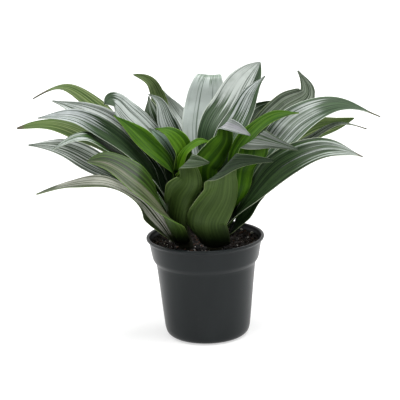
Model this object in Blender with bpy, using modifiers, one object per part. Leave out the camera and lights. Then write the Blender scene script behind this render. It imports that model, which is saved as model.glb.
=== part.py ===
"""Potted dracaena: three leafy canes in a plastic nursery pot.

Blender 4.5, metres, +Z up. The origin is the middle of the pot's flat base, and -Y is the front.
Sizes are written in millimetres and turned to metres by MM. Angles are in degrees. A heading is
measured in plan from +X towards +Y.
"""

import math

import bmesh
import bpy
import numpy as np
from mathutils import Vector, noise

MM = 0.001
FULL_TURN = 2 * math.pi
CLEARANCE = 0.35

# Pot: a 12 cm nursery pot with a deep collar above a step
POT_HEIGHT = 104
RIM_RADIUS = 60.4
COLLAR_TOP_RADIUS = 57.2
COLLAR_FOOT_RADIUS = 54.7
STEP_HEIGHT = 77.6
BODY_TOP_RADIUS = 50.8
BODY_FOOT_RADIUS = 44.3
WALL = 1.4
FLOOR = 1.8
POT_SIDES = 48
DRAIN_HOLES = 8
DRAIN_CIRCLE = 27
DRAIN_RADIUS = 4
DRAIN_SIDES = 10

# Potting soil
SOIL_TOP = 96
SOIL_CRUMB = 1.6
SOIL_CRUMB_SIZE = 9
SOIL_EDGE_GAP = 0.4
SOIL_RIM_BAND = 1
HOLE_RISE = 4
SOIL_RINGS = 5

# Canes: foot on the soil, where the top leans to, and height above the soil
CANES = {
    "left": {"foot": (-20, -12), "lean": (-7, 8), "height": 58},
    "right": {"foot": (9, -20), "lean": (14, 11), "height": 62},
    "back": {"foot": (14, 21), "lean": (-8, 3), "height": 60},
}
CANE_RADIUS = 8
CANE_TIP_RADIUS = 3.5
CANE_DEPTH = 45
CANE_TAPER = 1
CANE_BEVEL = 1.2
CANE_SIDES = 20

# Leaf blades
BLADE = 0.9
SEAT_GAP = 0.35
ACROSS = 4
ALONG = 13
ALONG_FOLDED = 22
WAVES = 2.2
WAVE_LAG = 1.3
WAVE_HEIGHT = 1.5
WAVE_START = 0.2
WAVE_SPAN = 0.75
STATIONS = (0.0, 0.12, 0.3, 0.5, 0.68, 0.82, 0.92, 0.97, 1.0)
HALF_WIDTHS = (0.86, 1.0, 0.9, 0.62, 0.28, 0.11, 0.05)
BLUNT_HALF_WIDTHS = (0.86, 1.0, 0.98, 0.84, 0.58, 0.3, 0.05)
BASE_SPREAD = 0.1
WIDEST_TO_CREASE = 0.6
FLAP_MIDDLE = 0.45
CUP_STATIONS = (0.0, 0.12, 0.35, 0.6, 1.0)
CLASP_SHARE = 0.7
TIP_CUP = 0.6
ROLL_STATIONS = {3: (0.0, 0.5, 1.0), 4: (0.0, 0.2, 0.5, 1.0)}
TURN_DONE = 0.6
FOLD_TURN = 160
FOLD_RADIUS = 2.2
FLATTEN_AT = (-8, 0, 12)
FLATTEN_BY = (1.0, 0.25, 0.6)
PATH_STEPS = 60
ARCH_STEPS = 60

# Edges sharper than these angles are kept sharp
POT_SHARP = 40
SOIL_SHARP = 50
LEAF_SHARP = 60

GREEN = (0.045, 0.115, 0.022)
YOUNG_GREEN = (0.13, 0.26, 0.02)


def material(name, colour, roughness, metallic=0.0):
    made = bpy.data.materials.new(name)
    made.use_nodes = True
    shader = made.node_tree.nodes["Principled BSDF"]
    shader.inputs["Base Color"].default_value = (*colour, 1)
    shader.inputs["Roughness"].default_value = roughness
    shader.inputs["Metallic"].default_value = metallic
    return made


def add_object(name, mesh, collection, finish=None):
    made = bpy.data.objects.new(name, mesh)
    collection.objects.link(made)
    if finish:
        mesh.materials.append(finish)
    return made


def mesh_from(name, points, edges, faces=()):
    mesh = bpy.data.meshes.new(name)
    mesh.from_pydata(points, edges, faces)
    return mesh


def turned(name, profile, sides, collection, finish=None):
    """Turns (radius, height) points in millimetres about Z. The outer side runs from top to bottom."""
    points = [(radius * MM, 0, height * MM) for radius, height in profile]
    edges = [(i, i + 1) for i in range(len(points) - 1)]
    made = add_object(name, mesh_from(name, points, edges), collection, finish)
    screw = made.modifiers.new("Turn", "SCREW")
    screw.steps = screw.render_steps = sides
    screw.use_merge_vertices = True
    screw.merge_threshold = 0.00001
    return made


def baked(made):
    """Applies the modifiers, so that the object is a plain mesh."""
    bpy.context.view_layer.update()
    graph = bpy.context.evaluated_depsgraph_get()
    mesh = bpy.data.meshes.new_from_object(made.evaluated_get(graph))
    made.modifiers.clear()
    made.data = mesh
    return made


def cut(made, cutter):
    cutter.hide_render = True
    cutter.display_type = "WIRE"
    boolean = made.modifiers.new("Cut", "BOOLEAN")
    boolean.operation = "DIFFERENCE"
    boolean.object = cutter


def smooth(made, degrees=POT_SHARP):
    made.data.shade_smooth()
    made.data.set_sharp_from_angle(angle=math.radians(degrees))


def along(knots, values, shares):
    """Smooth curve through (knot, value) pairs that never overshoots, read at shares."""
    knots, values = np.asarray(knots, float), np.asarray(values, float)
    gaps = np.diff(knots)
    slopes = np.diff(values) / gaps
    bends = np.zeros(len(knots))
    before, after = slopes[:-1], slopes[1:]
    same = before * after > 0
    bends[1:-1][same] = 2 * before[same] * after[same] / (before[same] + after[same])
    bends[0], bends[-1] = slopes[0], slopes[-1]
    left = np.clip(np.searchsorted(knots, shares, side="right") - 1, 0, len(gaps) - 1)
    gap, part = gaps[left], (shares - knots[left]) / gaps[left]
    return (
        values[left] * (2 * part**3 - 3 * part**2 + 1)
        + bends[left] * gap * (part**3 - 2 * part**2 + part)
        + values[left + 1] * (3 * part**2 - 2 * part**3)
        + bends[left + 1] * gap * (part**3 - part**2)
    )


def on_cane(cane, height):
    """The cane's middle and radius at a height above the soil."""
    share = height / cane["height"]
    foot, lean = np.array(cane["foot"], float), np.array(cane["lean"], float)
    middle = np.append(foot + lean * share, SOIL_TOP + height)
    return middle, CANE_RADIUS + (CANE_TIP_RADIUS - CANE_RADIUS) * share


def smooth_path(points, start):
    """A curve through the points that leaves the first along start, and its length so far at each place."""
    points = np.asarray(points, float)
    spans = np.linalg.norm(np.diff(points, axis=0), axis=1)
    ways = np.diff(points, axis=0) / spans[:, None]
    heads = np.empty_like(points)
    heads[0] = start
    for i in range(1, len(points) - 1):
        heads[i] = (ways[i - 1] * spans[i] + ways[i] * spans[i - 1]) / (spans[i - 1] + spans[i])
    heads[-1] = 1.5 * ways[-1] - 0.5 * heads[-2]
    part = np.linspace(0, 1, PATH_STEPS + 1)[:, None]
    runs = [
        points[i] * (2 * part**3 - 3 * part**2 + 1)
        + heads[i] * span * (part**3 - 2 * part**2 + part)
        + points[i + 1] * (3 * part**2 - 2 * part**3)
        + heads[i + 1] * span * (part**3 - part**2)
        for i, span in enumerate(spans)
    ]
    curve = np.vstack([runs[0]] + [run[1:] for run in runs[1:]])
    steps = np.linalg.norm(np.diff(curve, axis=0), axis=1)
    return curve, np.concatenate([[0], np.cumsum(steps)])


def level_side(heading):
    return np.array([-heading[1], heading[0], 0])


def leaf_frames(leaf, shares):
    """Middle line, and the unit vectors across the blade and out of its upper face, at shares of its length."""
    middle, radius = on_cane(leaf["cane"], leaf["height"])
    out = (np.array(leaf["path"][0]) - middle)[:2]
    out = out / np.linalg.norm(out)
    seat = middle + (radius + SEAT_GAP + BLADE / 2) * np.append(out, 0)
    rise = math.radians(leaf["rise"])
    curve, run = smooth_path([seat, *leaf["path"]], np.append(out * math.cos(rise), math.sin(rise)))
    at = shares * run[-1]
    heads = np.gradient(curve, run, axis=0)
    place = np.stack([np.interp(at, run, curve[:, k]) for k in range(3)], 1)
    head = np.stack([np.interp(at, run, heads[:, k]) for k in range(3)], 1)
    head /= np.linalg.norm(head, axis=1, keepdims=True)
    way = (curve[-1] - curve[0])[:2]
    way = way / np.linalg.norm(way)
    if leaf["face"]:
        out, way = [(math.cos(math.radians(a)), math.sin(math.radians(a))) for a in leaf["face"]]
    turned_by = np.clip(shares / TURN_DONE, 0, 1)[:, None]
    turned_by = turned_by**2 * (3 - 2 * turned_by)
    side = level_side(out) * (1 - turned_by) + level_side(way) * turned_by
    side = side - head * (side * head).sum(1, keepdims=True)
    side /= np.linalg.norm(side, axis=1, keepdims=True)
    up = np.cross(head, side)
    roll = np.radians(along(ROLL_STATIONS[len(leaf["roll"])], leaf["roll"], shares))[:, None]
    return place, side * np.cos(roll) + up * np.sin(roll), up * np.cos(roll) - side * np.sin(roll), radius


def half_widths(leaf, shares):
    """Half the blade's width at shares of its length. A folded blade is narrower at its crease."""
    blunt = leaf["blunt"]
    stations = STATIONS
    widths = [a + (b - a) * blunt for a, b in zip(HALF_WIDTHS, BLUNT_HALF_WIDTHS)]
    if leaf["fold"]:
        crease, _, widths = leaf["fold"]
        flap = crease + FLAP_MIDDLE * (1 - crease)
        stations = (0.0, STATIONS[1], WIDEST_TO_CREASE * crease, crease, flap, 1.0)
        widths = (*widths, HALF_WIDTHS[-1])
    widths = [leaf["base"], leaf["base"] + BASE_SPREAD, *widths]
    return leaf["width"] / 2 * along(stations, widths, shares)


def fold_over(points, leaf):
    """Bends what lies past a slanting crease over towards the blade's lower face."""
    crease, slant, _ = leaf["fold"]
    place, side, up, _ = leaf_frames(leaf, np.array([crease]))
    place, side, up = place[0], side[0], up[0]
    head = np.cross(side, up)
    slant = math.radians(slant)
    line = side * math.cos(slant) + head * math.sin(slant)
    ahead = head * math.cos(slant) - side * math.sin(slant)
    off = points - place
    beside, past, below = off @ line, off @ ahead, -(off @ up)
    below = below * np.interp(past, FLATTEN_AT, FLATTEN_BY)
    full = math.radians(FOLD_TURN)
    angle = np.clip(past / FOLD_RADIUS, 0, full)
    rest = np.clip(past - FOLD_RADIUS * full, 0, None)
    level = (FOLD_RADIUS - below) * np.sin(angle) + rest * np.cos(angle)
    sunk = FOLD_RADIUS - (FOLD_RADIUS - below) * np.cos(angle) + rest * np.sin(angle)
    level = np.where(past > 0, level, past)
    sunk = np.where(past > 0, sunk, below)
    return place + beside[..., None] * line + level[..., None] * ahead - sunk[..., None] * up


def leaf_points(leaf, across, shares):
    """Middle of the blade's thickness in millimetres: rows along the leaf, and in each the places across it."""
    place, side, up, radius = leaf_frames(leaf, shares)
    half = half_widths(leaf, shares)
    clasp = min(leaf["clasp"], math.degrees(2 * half[0] / (radius + SEAT_GAP + BLADE / 2)))
    cup = leaf["cup"]
    turns = (clasp, CLASP_SHARE * clasp + (1 - CLASP_SHARE) * cup, cup, cup, TIP_CUP * cup)
    turn = np.radians(along(CUP_STATIONS, turns, shares))
    bend = half / (turn / 2)
    angle = across[None, :] * turn[:, None] / 2
    out = bend[:, None] * np.sin(angle)
    lift = bend[:, None] * (1 - np.cos(angle))
    reach = np.sin(np.pi * np.clip((shares - WAVE_START) / WAVE_SPAN, 0, 1))[:, None]
    phase = FULL_TURN * WAVES * shares[:, None] + WAVE_LAG * np.sign(across)[None, :]
    lift = lift + WAVE_HEIGHT * reach * across[None, :] ** 2 * np.sin(phase)
    points = place[:, None] + out[..., None] * side[:, None] + lift[..., None] * up[:, None]
    return fold_over(points, leaf) if leaf["fold"] else points


def make_leaf(name, leaf, collection, finish):
    """A grid bent to the leaf's form, split into triangles, then thickened alike to both sides."""
    shape = bmesh.new()
    rows = ALONG_FOLDED if leaf["fold"] else ALONG
    bmesh.ops.create_grid(shape, x_segments=ACROSS, y_segments=rows, size=1)
    across = np.linspace(-1, 1, ACROSS + 1)
    shares = np.linspace(0, 1, rows + 1)
    points = leaf_points(leaf, across, shares) * MM
    for vertex in shape.verts:
        column = round((vertex.co.x + 1) / 2 * ACROSS)
        row = round((vertex.co.y + 1) / 2 * rows)
        vertex.co = points[row, column]
    bmesh.ops.triangulate(shape, faces=shape.faces[:], quad_method="FIXED")
    mesh = bpy.data.meshes.new(name)
    shape.to_mesh(mesh)
    shape.free()
    made = add_object(name, mesh, collection, finish)
    solid = made.modifiers.new("Blade", "SOLIDIFY")
    solid.thickness = BLADE * MM
    solid.offset = 0
    smooth(made, LEAF_SHARP)
    return made


def leaf(
    height,
    width,
    path,
    rise=70,
    roll=(0, 0, 0),
    cup=40,
    base=0.4,
    face=None,
    clasp=120,
    fold=None,
    blunt=0,
    young=False,
):
    """A leaf that leaves its cane at a height above the soil and runs through the points of its path.

    rise is its slope where it leaves the cane, and base its width there as a share of its width. roll turns
    the blade about its middle line, from its foot to its tip, and cup is how far its section curls. clasp
    limits how far round the cane its foot reaches. face gives two headings for the blade, at its foot and
    past its middle, where they aren't those of its path. fold is a crease: its share of the length, its
    slant to the blade, and the blade's width before it, at it and on the flap past it, as shares. blunt is
    how broad it stays towards its tip, from 0 for a drawn-out tip to 1.
    """
    return {
        "height": height,
        "width": width,
        "path": path,
        "rise": rise,
        "roll": roll,
        "cup": cup,
        "base": base,
        "face": face,
        "clasp": clasp,
        "fold": fold,
        "blunt": blunt,
        "young": young,
    }


def arched(height, heading, length, width, slopes, cup=40, base=0.4):
    """A leaf on one heading, whose slope runs evenly through the slopes from its foot to its tip."""
    made = leaf(height, width, None, slopes[0], cup=cup, base=base)
    made["arch"] = (heading, length, slopes)
    return made


def arch_path(cane, height, heading, length, slopes):
    middle, radius = on_cane(cane, height)
    way = np.array([math.cos(math.radians(heading)), math.sin(math.radians(heading)), 0])
    shares = np.linspace(0, 1, ARCH_STEPS + 1)
    slope = np.radians(np.interp(shares, np.linspace(0, 1, len(slopes)), slopes))
    steps = np.cos(slope)[:, None] * way + np.sin(slope)[:, None] * np.array([0, 0, 1])
    run = middle + (radius + SEAT_GAP + BLADE / 2) * way + np.cumsum(steps, axis=0) * length / ARCH_STEPS
    return [tuple(np.round(run[ARCH_STEPS * i // 3])) for i in (1, 2, 3)]


def all_leaves():
    """Every leaf by its node's name, each with its cane and its path."""
    found = {}
    for cane, leaves in (("left", LEFT), ("right", RIGHT), ("back", BACK)):
        for number, row in enumerate(leaves, 1):
            row["cane"] = CANES[cane]
            if row["path"] is None:
                row["path"] = arch_path(row["cane"], row["height"], *row["arch"])
            found[f"{cane}_leaf_{number:02d}"] = row
    return found


# Leaves of each cane from the lowest up: height on the cane, width, and the middle line's points
LEFT = [
    # low leaf, bent out level over the rim
    leaf(2.5, 28, [(-46, -16, 123), (-68, -42, 156), (-97, -53, 174), (-131, -50, 173), (-165, -47, 164)],
         rise=40, roll=(-5, -79, -15, 0), cup=41, base=0.5, blunt=0.5),
    arched(4, 113, 150, 36, (44, 21, 17, -30), cup=59, base=0.3),
    # broad front leaf with a hooked tip
    leaf(4.5, 44, [(-44, -52, 151), (-66, -71, 182), (-94, -81, 203), (-110, -92, 206)],
         rise=49, roll=(1, -14, -50, -50), cup=20, base=0.49, blunt=0.3),
    # stands up in front, with its tip folded over to the right
    leaf(7, 35, [(-29, -28, 127), (-24, -38, 153), (-14, -47, 173), (-16, -43, 190), (-21, -39, 216)],
         rise=60, roll=(-20, -21, 0), cup=85, base=0.5, face=(-95, -85),
         fold=(0.77, 37, (0.99, 0.51, 0.4))),
    arched(8.5, 111, 160, 34, (51, 58, 27, 15), cup=24, base=0.32),
    arched(14.5, 103, 170, 36, (56, 52, 43, -5), cup=43, base=0.3),
    leaf(19.5, 36, [(-70, -2, 157), (-108, -18, 186), (-141, -27, 206), (-172, -30, 210)],
         rise=54, roll=(5, -27, -45), cup=28),
    leaf(23.5, 32, [(-75, 6, 177), (-120, 21, 204), (-153, 24, 217), (-189, 25, 216)],
         rise=46, roll=(-4, -10, -15), cup=59, base=0.32, blunt=1),
    # drooping tip in front of its neighbours
    leaf(26.5, 24, [(-62, -24, 178), (-90, -30, 203), (-118, -46, 220), (-145, -57, 211)],
         rise=46, roll=(-2, -22, -20), base=0.41, blunt=0.3),
    leaf(30.5, 30, [(-62, -24, 184), (-99, -28, 220), (-124, -27, 235), (-162, -20, 235)],
         rise=52, roll=(0, -36, -45), cup=116, base=0.32),
    leaf(34, 25, [(-66, 33, 175), (-112, 59, 231), (-143, 67, 249), (-175, 63, 239)],
         rise=68, roll=(-2, -10, -10), cup=37, base=0.33, blunt=0.8),
    leaf(38.5, 34, [(-54, 1, 177), (-91, 6, 216), (-120, 14, 233), (-151, 22, 244)],
         rise=45, roll=(4, -47, -45), cup=79, base=0.32),
    leaf(43.5, 30, [(-40, 31, 200), (-51, 32, 226), (-54, 51, 240)],
         rise=62, roll=(0, -59, -60), cup=36, base=0.33),
    # blunt folded tip
    leaf(48, 32, [(-36, 9, 184), (-53, 11, 207), (-73, 7, 229), (-89, -4, 247), (-96, -14, 246)],
         rise=50, roll=(-4, -49, -50), cup=20, base=0.41, blunt=1),
    leaf(52, 24, [(-32, 2, 186), (-43, 3, 206), (-53, 6, 216)],
         rise=51, roll=(-4, -46, -45), cup=58, base=0.37),
    leaf(53, 14, [(-23, -20, 183), (-15, -22, 199), (-3, -22, 207), (9, -19, 205)],
         rise=76, roll=(-3, 45, 45), cup=22, base=0.33, young=True),
    leaf(53, 22, [(-23, -5, 177), (-20, -7, 197), (-32, -5, 213), (-47, -2, 217)],
         rise=59, roll=(0, -43, -45), cup=21, base=0.33, young=True),
    leaf(55, 23, [(-32, -7, 175), (-53, -18, 203), (-70, -20, 221), (-87, -18, 235)],
         rise=58, roll=(-1, -51, -50), cup=38, base=0.32, young=True),
]
RIGHT = [
    # broad blade that stands up in front, with its tip folded over to the right
    leaf(2.5, 52, [(1, -43, 129), (15, -45, 156), (19, -54, 181), (24, -45, 202), (24, -35, 234)],
         rise=66, roll=(-18, -4, 0), cup=42, base=0.74, face=(-92, -80), clasp=110,
         fold=(0.64, 56, (0.76, 0.51, 0.25))),
    leaf(6, 22, [(31, -26, 118), (45, -27, 138), (73, -24, 170)],
         rise=62, roll=(1, 35, 30), cup=51, base=0.39),
    leaf(11, 14, [(73, 29, 167), (111, 17, 198), (139, 9, 214), (166, 4, 209)],
         rise=64, roll=(3, 36, -5), cup=51, base=0.42),
    leaf(12.5, 31, [(46, -36, 150), (77, -37, 183), (114, -34, 198), (161, -3, 182)],
         rise=62, roll=(0, 54, 2), cup=43, blunt=0.4),
    arched(23, 22, 98, 32, (43, 47, 25, -16), cup=25, base=0.38),
    # shows its underside
    leaf(27.5, 32, [(81, 48, 177), (120, 61, 198), (143, 63, 203), (159, 61, 209)],
         rise=62, roll=(2, -73, -80), cup=48, base=0.32, blunt=0.6),
    # young leaf, with its tip folded over to the right
    leaf(33.5, 31, [(36, -38, 164), (39, -33, 180), (49, -38, 196), (50, -31, 220), (50, -25, 256)],
         rise=42, roll=(4, -4, 0), cup=46, base=0.42, face=(-80, -80),
         fold=(0.65, 35, (0.75, 1, 0.46)), young=True),
    arched(34.5, 56, 150, 34, (53, 45, 36, -5), cup=35, base=0.32),
    # longest leaf, arching out to the right
    leaf(41.5, 36, [(70, -14, 196), (99, 7, 220), (135, 19, 231), (181, 14, 219)],
         rise=42, roll=(0, 44, -5), cup=46, base=0.32, blunt=0.2),
    # heart leaf, with its tip folded over
    leaf(47, 31, [(3, -26, 183), (13, -23, 195), (22, -21, 209), (21, -17, 226), (13, -16, 251)],
         rise=43, roll=(-13, 5, 0), cup=81, base=0.59, face=(-88, -85),
         fold=(0.73, 32, (0.98, 0.48, 0.39)), young=True),
    leaf(48, 38, [(61, 27, 201), (87, 46, 224), (110, 57, 239), (101, 59, 261)],
         rise=51, roll=(-3, 67, 65), cup=44, base=0.33),
    leaf(52, 19, [(34, -4, 190), (48, -6, 209), (72, -7, 227), (97, -8, 230)],
         rise=42, roll=(-2, 42, 40), cup=42, young=True),
]
BACK = [
    arched(6, 37, 125, 34, (56, 44, 16, -11)),
    arched(6.5, 155, 140, 34, (48, 49, 8, -10), cup=35, base=0.37),
    arched(10, 95, 190, 38, (54, 47, 13, 0), cup=45, base=0.36),
    arched(15.5, 136, 180, 36, (56, 41, 19, 1), cup=26, base=0.34),
    arched(18, 50, 185, 38, (59, 49, 28, -7), cup=42, base=0.3),
    arched(21.5, 123, 165, 34, (51, 52, 11, 8), cup=50, base=0.32),
    leaf(24.5, 26, [(45, 58, 201), (61, 88, 217), (81, 85, 226)],
         rise=49, roll=(-13, 47, 50), cup=20, base=0.32),
    arched(25.5, 111, 160, 36, (59, 58, 20, -2), cup=32),
    arched(30, 96, 150, 34, (60, 61, 22, 1), cup=52, base=0.32),
    arched(35, 94, 125, 32, (63, 61, 44, 2), cup=31, base=0.3),
    leaf(40, 20, [(-41, 45, 212), (-46, 53, 241), (-52, 51, 255), (-69, 49, 264)],
         rise=55, roll=(-2, -38, -45), cup=82, base=0.35, blunt=0.7),
    leaf(44, 28, [(-13, 58, 199), (-27, 67, 219), (-39, 61, 244)],
         rise=61, roll=(-1, -51, -60), cup=38),
    # broad upright leaf that nods backwards at its tip
    leaf(50, 44, [(0, 46, 197), (4, 59, 228), (10, 69, 256), (15, 89, 252)],
         rise=59, roll=(12, 2, 0), cup=29, face=(90, 90), blunt=0.3),
    leaf(51.5, 30, [(23, 6, 196), (41, 24, 225), (53, 32, 247), (66, 39, 260)],
         rise=51, roll=(1, 16, 15), cup=43, face=(80, 50)),
    leaf(54, 25, [(-23, 15, 190), (-36, 16, 219), (-44, 18, 242), (-53, 15, 249)],
         rise=70, roll=(0, -60, -60), cup=44, base=0.39),
    # tallest leaf
    leaf(55.5, 45, [(15, 16, 204), (34, 38, 233), (47, 50, 254), (62, 60, 271)],
         rise=53, roll=(-1, 10, 10), cup=41, face=(90, 70), blunt=0.8),
]


def pot_profile():
    """Inside from the middle of the floor to the rim, then down the outside to the middle of the base."""
    inside = [(0, FLOOR), (BODY_FOOT_RADIUS - 8, FLOOR), (BODY_FOOT_RADIUS - 2, 9)]
    inside += [(BODY_TOP_RADIUS - WALL, STEP_HEIGHT - 3.6), (BODY_TOP_RADIUS - 0.5, STEP_HEIGHT)]
    inside += [(COLLAR_FOOT_RADIUS - WALL, STEP_HEIGHT + 4.6), (COLLAR_TOP_RADIUS - WALL, POT_HEIGHT - 6)]
    inside += [(RIM_RADIUS - 3.4, POT_HEIGHT - 3), (RIM_RADIUS - 3, POT_HEIGHT)]
    lip = [(RIM_RADIUS - 0.5, POT_HEIGHT), (RIM_RADIUS, POT_HEIGHT - 0.6), (RIM_RADIUS, POT_HEIGHT - 2.4)]
    lip += [(COLLAR_TOP_RADIUS + 0.5, POT_HEIGHT - 4), (COLLAR_TOP_RADIUS, POT_HEIGHT - 7)]
    collar = [(COLLAR_FOOT_RADIUS, STEP_HEIGHT + 5), (COLLAR_FOOT_RADIUS - 0.8, STEP_HEIGHT + 2.9)]
    collar += [(BODY_TOP_RADIUS + 1.1, STEP_HEIGHT), (BODY_TOP_RADIUS, STEP_HEIGHT - 1.6)]
    foot = [(BODY_FOOT_RADIUS, 12), (BODY_FOOT_RADIUS - 0.7, 7), (BODY_FOOT_RADIUS - 2.1, 3)]
    foot += [(BODY_FOOT_RADIUS - 4.8, 0.6), (BODY_FOOT_RADIUS - 6.3, 0), (0, 0)]
    return inside + lip + collar + foot


def make_pot(collection, cutters):
    """Turned shell with round drain holes near the edge of its floor."""
    finish = material("Pot plastic", (0.018, 0.021, 0.022), 0.4)
    pot = baked(turned("pot", pot_profile(), POT_SIDES, collection, finish))
    holes = bmesh.new()
    for i in range(DRAIN_HOLES):
        turn = FULL_TURN * (i + 0.5) / DRAIN_HOLES
        made = bmesh.ops.create_cone(
            holes,
            cap_ends=True,
            segments=DRAIN_SIDES,
            radius1=DRAIN_RADIUS * MM,
            radius2=DRAIN_RADIUS * MM,
            depth=FLOOR * 4 * MM,
        )
        middle = Vector((DRAIN_CIRCLE * math.cos(turn), DRAIN_CIRCLE * math.sin(turn), FLOOR / 2))
        bmesh.ops.translate(holes, verts=made["verts"], vec=middle * MM)
    mesh = bpy.data.meshes.new("drain_cutter")
    holes.to_mesh(mesh)
    holes.free()
    cut(pot, add_object("drain_cutter", mesh, cutters))
    smooth(pot)


def soil_profile():
    """Middle of the crumbly top, out to the wall, down inside the pot to the middle of its floor."""
    edge = COLLAR_TOP_RADIUS - WALL - CLEARANCE - SOIL_EDGE_GAP
    top = [(edge * i / SOIL_RINGS, SOIL_TOP) for i in range(SOIL_RINGS + 1)]
    side = [(COLLAR_FOOT_RADIUS - WALL - CLEARANCE, STEP_HEIGHT + 4.7)]
    side += [(BODY_TOP_RADIUS - 0.5 - CLEARANCE, STEP_HEIGHT + 0.3)]
    side += [(BODY_TOP_RADIUS - WALL - CLEARANCE, STEP_HEIGHT - 3.6)]
    side += [(BODY_FOOT_RADIUS - 2 - CLEARANCE, 9.2), (BODY_FOOT_RADIUS - 8.3, FLOOR + CLEARANCE)]
    return top + side + [(0, FLOOR + CLEARANCE)]


def make_soil(collection, cutters):
    """Fills the pot up to a crumbly top, with a plain hole for each cane."""
    finish = material("Potting soil", (0.035, 0.022, 0.013), 0.95)
    soil = baked(turned("soil", soil_profile(), POT_SIDES, collection, finish))
    shelf = (COLLAR_TOP_RADIUS - WALL - CLEARANCE - SOIL_RIM_BAND) * MM
    for vertex in soil.data.vertices:
        place = vertex.co
        if place.z > (SOIL_TOP - 0.1) * MM and math.hypot(place.x, place.y) < shelf:
            sink = 0.5 + 0.5 * noise.noise(place / MM / SOIL_CRUMB_SIZE)
            place.z -= SOIL_CRUMB * sink * MM
    for name, cane in CANES.items():
        profile = cane_profile(cane, CLEARANCE, SOIL_TOP + HOLE_RISE)
        cutter = baked(turned("hole_cutter_" + name, profile, CANE_SIDES, cutters))
        lean_over(cutter, cane)
        cut(soil, cutter)
    smooth(soil, SOIL_SHARP)


def cane_profile(cane, grow, top=None):
    """Half section of a cane that stands on the origin's axis, grown outwards by a clearance."""
    if top is None:
        top = SOIL_TOP + cane["height"]
        crown = [(0, top), (CANE_TIP_RADIUS - CANE_TAPER, top), (CANE_TIP_RADIUS, top - CANE_BEVEL)]
    else:
        crown = [(0, top), (CANE_RADIUS + grow, top)]
    foot = SOIL_TOP - CANE_DEPTH - grow
    return crown + [(CANE_RADIUS + grow, SOIL_TOP), (CANE_RADIUS - CANE_TAPER + grow, foot), (0, foot)]


def lean_over(made, cane):
    """Shears an upright cane so that its middle follows its foot and its lean."""
    for vertex in made.data.vertices:
        share = (vertex.co.z / MM - SOIL_TOP) / cane["height"]
        vertex.co.x += (cane["foot"][0] + cane["lean"][0] * share) * MM
        vertex.co.y += (cane["foot"][1] + cane["lean"][1] * share) * MM


def make_canes(collection):
    finish = material("Cane", (0.11, 0.13, 0.05), 0.7)
    for name, cane in CANES.items():
        made = baked(turned("cane_" + name, cane_profile(cane, 0), CANE_SIDES, collection, finish))
        lean_over(made, cane)
        smooth(made)


def build():
    for old in list(bpy.data.objects):
        bpy.data.objects.remove(old, do_unlink=True)
    collection = bpy.data.collections.new("potted_dracaena")
    cutters = bpy.data.collections.new("cutters")
    bpy.context.scene.collection.children.link(collection)
    bpy.context.scene.collection.children.link(cutters)
    make_pot(collection, cutters)
    make_soil(collection, cutters)
    make_canes(collection)
    green = material("Leaf", GREEN, 0.45)
    young = material("Young leaf", YOUNG_GREEN, 0.4)
    for name, row in all_leaves().items():
        make_leaf(name, row, collection, young if row["young"] else green)


build()
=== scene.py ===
"""Looks of the potted dracaena: fine pleated leaves, ringed canes, crumbly soil and a moulded pot.

The leaf form, the canes and the pot's half section repeat the ones in the part's own source.
Sizes are in millimetres and turned to metres by MM, angles in degrees.
"""

import math
import zlib

import bmesh
import bpy
import numpy as np
from mathutils import Matrix, Vector, noise


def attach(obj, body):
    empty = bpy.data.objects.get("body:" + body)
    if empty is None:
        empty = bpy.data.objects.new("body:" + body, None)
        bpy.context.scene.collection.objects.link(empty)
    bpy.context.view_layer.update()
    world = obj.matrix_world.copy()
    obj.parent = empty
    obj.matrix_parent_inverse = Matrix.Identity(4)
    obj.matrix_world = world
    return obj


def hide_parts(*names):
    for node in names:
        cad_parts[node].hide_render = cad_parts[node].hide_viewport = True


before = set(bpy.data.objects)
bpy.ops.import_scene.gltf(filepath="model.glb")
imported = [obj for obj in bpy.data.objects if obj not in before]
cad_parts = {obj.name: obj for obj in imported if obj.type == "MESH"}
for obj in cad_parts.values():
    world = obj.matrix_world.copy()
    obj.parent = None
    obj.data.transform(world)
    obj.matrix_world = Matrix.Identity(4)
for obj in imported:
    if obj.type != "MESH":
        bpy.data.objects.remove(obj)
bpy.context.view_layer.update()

MM = 0.001
FULL_TURN = 2 * math.pi

# Pot and soil
POT_HEIGHT = 104
RIM_RADIUS = 60.4
COLLAR_TOP_RADIUS = 57.2
COLLAR_FOOT_RADIUS = 54.7
STEP_HEIGHT = 77.6
BODY_TOP_RADIUS = 50.8
BODY_FOOT_RADIUS = 44.3
DRAIN_HOLES = 8
DRAIN_CIRCLE = 27
DRAIN_RADIUS = 4
WALL = 1.4
FLOOR = 1.8
CLEARANCE = 0.35
SOIL_TOP = 96
SOIL_CRUMB = 1.6
SOIL_CRUMB_SIZE = 9
SOIL_EDGE_GAP = 0.4
LEVEL_SLACK = 0.1

# Canes
CANES = {
    "left": {"foot": (-20, -12), "lean": (-7, 8), "height": 58},
    "right": {"foot": (9, -20), "lean": (14, 11), "height": 62},
    "back": {"foot": (14, 21), "lean": (-8, 3), "height": 60},
}
CANE_RADIUS = 8
CANE_TIP_RADIUS = 3.5
CANE_DEPTH = 45

# Leaf form
BLADE = 0.9
SEAT_GAP = 0.35
WAVES = 2.2
WAVE_LAG = 1.3
WAVE_HEIGHT = 1.5
WAVE_START = 0.2
WAVE_SPAN = 0.75
STATIONS = (0.0, 0.12, 0.3, 0.5, 0.68, 0.82, 0.92, 0.97, 1.0)
HALF_WIDTHS = (0.86, 1.0, 0.9, 0.62, 0.28, 0.11, 0.05)
BLUNT_HALF_WIDTHS = (0.86, 1.0, 0.98, 0.84, 0.58, 0.3, 0.05)
BASE_SPREAD = 0.1
WIDEST_TO_CREASE = 0.6
FLAP_MIDDLE = 0.45
CUP_STATIONS = (0.0, 0.12, 0.35, 0.6, 1.0)
CLASP_SHARE = 0.7
TIP_CUP = 0.6
ROLL_STATIONS = {3: (0.0, 0.5, 1.0), 4: (0.0, 0.2, 0.5, 1.0)}
TURN_DONE = 0.6
FOLD_TURN = 160
FOLD_RADIUS = 2.2
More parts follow.
